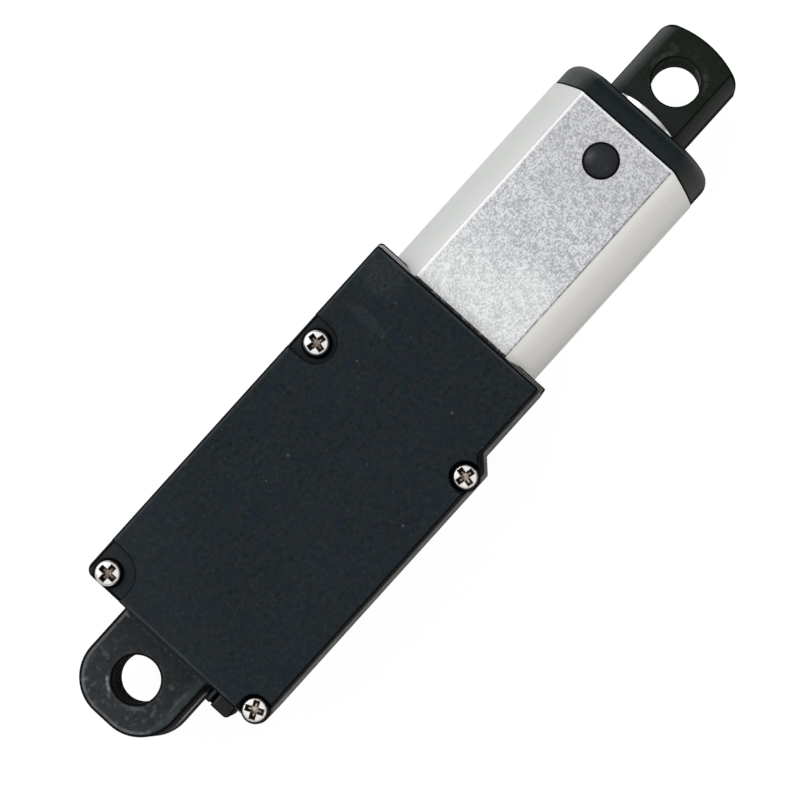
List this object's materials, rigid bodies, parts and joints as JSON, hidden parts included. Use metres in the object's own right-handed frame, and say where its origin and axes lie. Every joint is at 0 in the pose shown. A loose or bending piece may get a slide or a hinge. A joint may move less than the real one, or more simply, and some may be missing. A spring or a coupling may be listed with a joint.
{
  "type": "electric linear actuator",
  "caption": "Small in-line electric linear actuator: a geared motor in a screwed black housing turns a lead screw that slides a rod with a pivot eye out of a double-D tube.",
  "frame": {"origin": "middle of the rear pivot hole", "axes": "+X along the rod towards the eye end, +Z along the pivot holes towards the cover"},
  "size_m": [0.0733, 0.019, 0.015],
  "materials": {
    "housing_black": "moulded black nylon, fine matte texture",
    "cover_black": "moulded black nylon, fine matte texture",
    "cap_black": "moulded black acetal, satin",
    "stud_black": "black plastic, semi-gloss",
    "eye_black": "glass-filled black nylon, satin",
    "outlet_black": "soft black plastic",
    "seal_rubber": "black nitrile rubber",
    "tube_aluminium": "bead-blasted flats, smooth satin round sides, clear anodised",
    "rod_steel": "ground stainless steel",
    "screw_nickel": "nickel-plated steel",
    "motor_steel": "zinc-plated steel",
    "motor_plastic": "natural nylon",
    "plain_steel": "plain machined steel",
    "lamination_steel": "laminated electrical steel",
    "ferrite": "ferrite magnet",
    "bronze": "sintered bronze",
    "gear_brass": "machined brass",
    "copper": "enamelled or bare copper",
    "carbon": "carbon brush on a copper arm",
    "nut_plastic": "natural acetal",
    "board_green": "glass-epoxy board",
    "diode_black": "moulded epoxy",
    "cage_nylon": "nylon",
    "lead_black": "vinyl insulation",
    "lead_red": "vinyl insulation"
  },
  "bodies": {
    "housing": {"gear_housing": "housing_black", "housing_cover": "cover_black", "cover_screws": "screw_nickel", "cable_grommet": "outlet_black", "outer_tube": "tube_aluminium", "front_cap": "cap_black", "cap_lock_studs": "stud_black", "rod_seal": "seal_rubber", "motor_can": "motor_steel", "motor_end_cap": "motor_plastic", "motor_terminals": "gear_brass", "motor_magnets": "ferrite", "motor_brushes": "carbon", "motor_bushes": "bronze", "gear_plate_rear": "gear_brass", "gear_plate_front": "gear_brass", "gear_spacers": "gear_brass", "gear_plate_screws": "plain_steel", "gear_arbors": "plain_steel", "bearing_outer_ring": "plain_steel", "limit_board": "board_green", "board_tracks": "copper", "limit_diodes": "diode_black", "motor_lead_black": "lead_black", "motor_lead_red": "lead_red"},
    "rod": {"push_rod": "rod_steel", "rod_end": "eye_black", "travelling_nut": "nut_plastic", "wiper_contact": "gear_brass"},
    "screw": {"lead_screw": "plain_steel", "output_gear": "gear_brass", "bearing_inner_ring": "plain_steel", "screw_clip": "plain_steel"},
    "ball_set": {"bearing_balls": "screw_nickel", "bearing_cage": "cage_nylon"},
    "gear_1": {"compound_gear_1": "gear_brass"},
    "gear_2": {"compound_gear_2": "gear_brass"},
    "rotor": {"motor_shaft": "plain_steel", "armature_core": "lamination_steel", "armature_windings": "copper", "commutator": "copper", "motor_pinion": "gear_brass"}
  },
  "joints": [
    {"name": "rod_slide", "type": "slide", "parent": "housing", "child": "rod", "axis": [1, 0, 0], "range_m": [0, 0.01]},
    {"name": "lead_screw_spin", "type": "hinge", "parent": "housing", "child": "screw", "pos_m": [0.0347, 0, 0], "axis": [1, 0, 0], "range_deg": [-3601.8, 0]},
    {"name": "bearing_cage_spin", "type": "hinge", "parent": "housing", "child": "ball_set", "pos_m": [0.0347, 0, 0], "axis": [1, 0, 0], "range_deg": [-1368.68, 0]},
    {"name": "gear_2_spin", "type": "hinge", "parent": "housing", "child": "gear_2", "pos_m": [0.027, -0.00355, 0.00205], "axis": [1, 0, 0], "range_deg": [0, 9823.09]},
    {"name": "gear_1_spin", "type": "hinge", "parent": "housing", "child": "gear_1", "pos_m": [0.027, -0.00355, -0.00205], "axis": [1, 0, 0], "range_deg": [-26790.25, 0]},
    {"name": "rotor_spin", "type": "hinge", "parent": "housing", "child": "rotor", "pos_m": [0.0166, 0, 0], "axis": [1, 0, 0], "range_deg": [0, 73064.31]}
  ],
  "couplings": [
    {"joint": "lead_screw_spin", "follows": "rod_slide", "rad_per_m": -6283.2},
    {"joint": "bearing_cage_spin", "follows": "rod_slide", "rad_per_m": -2387.6},
    {"joint": "gear_2_spin", "follows": "rod_slide", "rad_per_m": 17136},
    {"joint": "gear_1_spin", "follows": "rod_slide", "rad_per_m": -46734},
    {"joint": "rotor_spin", "follows": "rod_slide", "rad_per_m": 127460}
  ]
}
